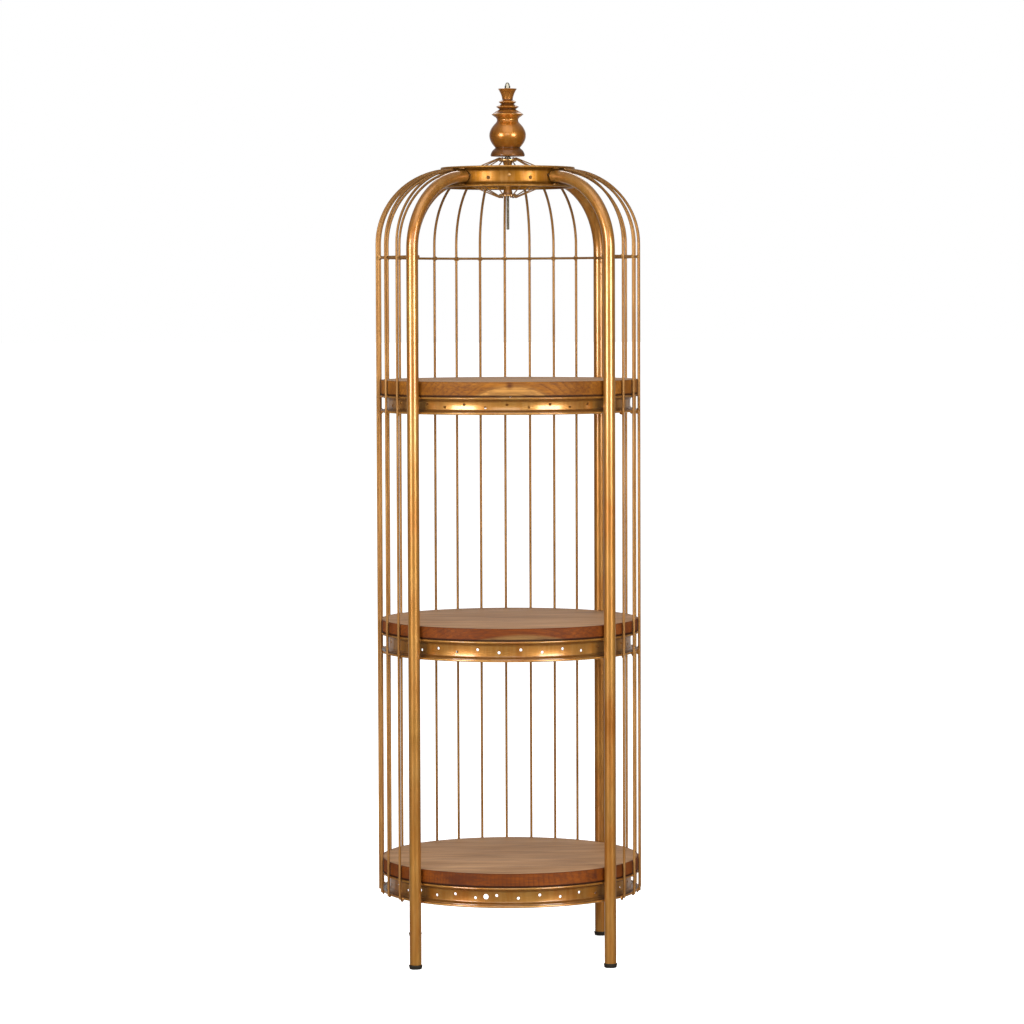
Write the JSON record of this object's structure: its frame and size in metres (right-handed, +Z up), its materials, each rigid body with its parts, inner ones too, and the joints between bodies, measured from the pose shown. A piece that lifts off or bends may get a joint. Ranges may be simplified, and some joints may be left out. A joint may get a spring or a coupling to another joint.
{
  "type": "bird cage shelf unit",
  "caption": "Tall open-front shelf unit shaped like a domed bird cage: round wooden boards on bicycle rims between bent tube legs and thin rods, topped by a spoked rim and a turned finial.",
  "frame": {"origin": "on the floor at the centre of the footprint", "axes": "+Z up along the unit's height, -Y towards the open front, +X to the right as seen from the front"},
  "size_m": [0.431, 0.4265, 1.4215],
  "materials": {
    "aged_gold_paint": "aged antique-gold metallic paint, satin, darker in the recesses and worn brighter on lips and edges",
    "gilt_wood": "turned wood with the same antique-gold paint, satin",
    "stained_pine": "pine board with a thin light-brown stain on top and a darker red-brown edge, matt to satin",
    "zinc_steel": "dull zinc-plated steel thread and nuts",
    "dark_rubber": "dark brown-black moulded rubber, matt"
  },
  "bodies": {
    "frame": {"board_lower": "stained_pine", "board_middle": "stained_pine", "board_upper": "stained_pine", "crown_rim": "aged_gold_paint", "foot_back_left": "dark_rubber", "foot_back_right": "dark_rubber", "foot_front_left": "dark_rubber", "foot_front_right": "dark_rubber", "hoop": "aged_gold_paint", "hub": "aged_gold_paint", "leg_back_left": "aged_gold_paint", "leg_back_right": "aged_gold_paint", "leg_front_left": "aged_gold_paint", "leg_front_right": "aged_gold_paint", "lock_nut": "zinc_steel", "rim_lower": "aged_gold_paint", "rim_middle": "aged_gold_paint", "rim_upper": "aged_gold_paint", "rod_back_1": "aged_gold_paint", "rod_back_2": "aged_gold_paint", "rod_back_3": "aged_gold_paint", "rod_back_4": "aged_gold_paint", "rod_back_5": "aged_gold_paint", "rod_back_6": "aged_gold_paint", "rod_back_7": "aged_gold_paint", "rod_left_1": "aged_gold_paint", "rod_left_2": "aged_gold_paint", "rod_left_3": "aged_gold_paint", "rod_left_4": "aged_gold_paint", "rod_left_5": "aged_gold_paint", "rod_left_6": "aged_gold_paint", "rod_left_7": "aged_gold_paint", "rod_right_1": "aged_gold_paint", "rod_right_2": "aged_gold_paint", "rod_right_3": "aged_gold_paint", "rod_right_4": "aged_gold_paint", "rod_right_5": "aged_gold_paint", "rod_right_6": "aged_gold_paint", "rod_right_7": "aged_gold_paint", "spoke_lower_1": "aged_gold_paint", "spoke_lower_2": "aged_gold_paint", "spoke_lower_3": "aged_gold_paint", "spoke_lower_4": "aged_gold_paint", "spoke_lower_5": "aged_gold_paint", "spoke_lower_6": "aged_gold_paint", "spoke_lower_7": "aged_gold_paint", "spoke_lower_8": "aged_gold_paint", "spoke_lower_9": "aged_gold_paint", "spoke_upper_1": "aged_gold_paint", "spoke_upper_2": "aged_gold_paint", "spoke_upper_3": "aged_gold_paint", "spoke_upper_4": "aged_gold_paint", "spoke_upper_5": "aged_gold_paint", "spoke_upper_6": "aged_gold_paint", "spoke_upper_7": "aged_gold_paint", "spoke_upper_8": "aged_gold_paint", "spoke_upper_9": "aged_gold_paint", "threaded_rod": "zinc_steel"},
    "finial": {"finial": "gilt_wood", "cap_nut": "zinc_steel"}
  },
  "joints": [
    {"name": "finial_turn", "type": "hinge", "parent": "frame", "child": "finial", "pos_m": [0, 0, 1.3018], "axis": [0, 0, 1], "continuous": true}
  ]
}
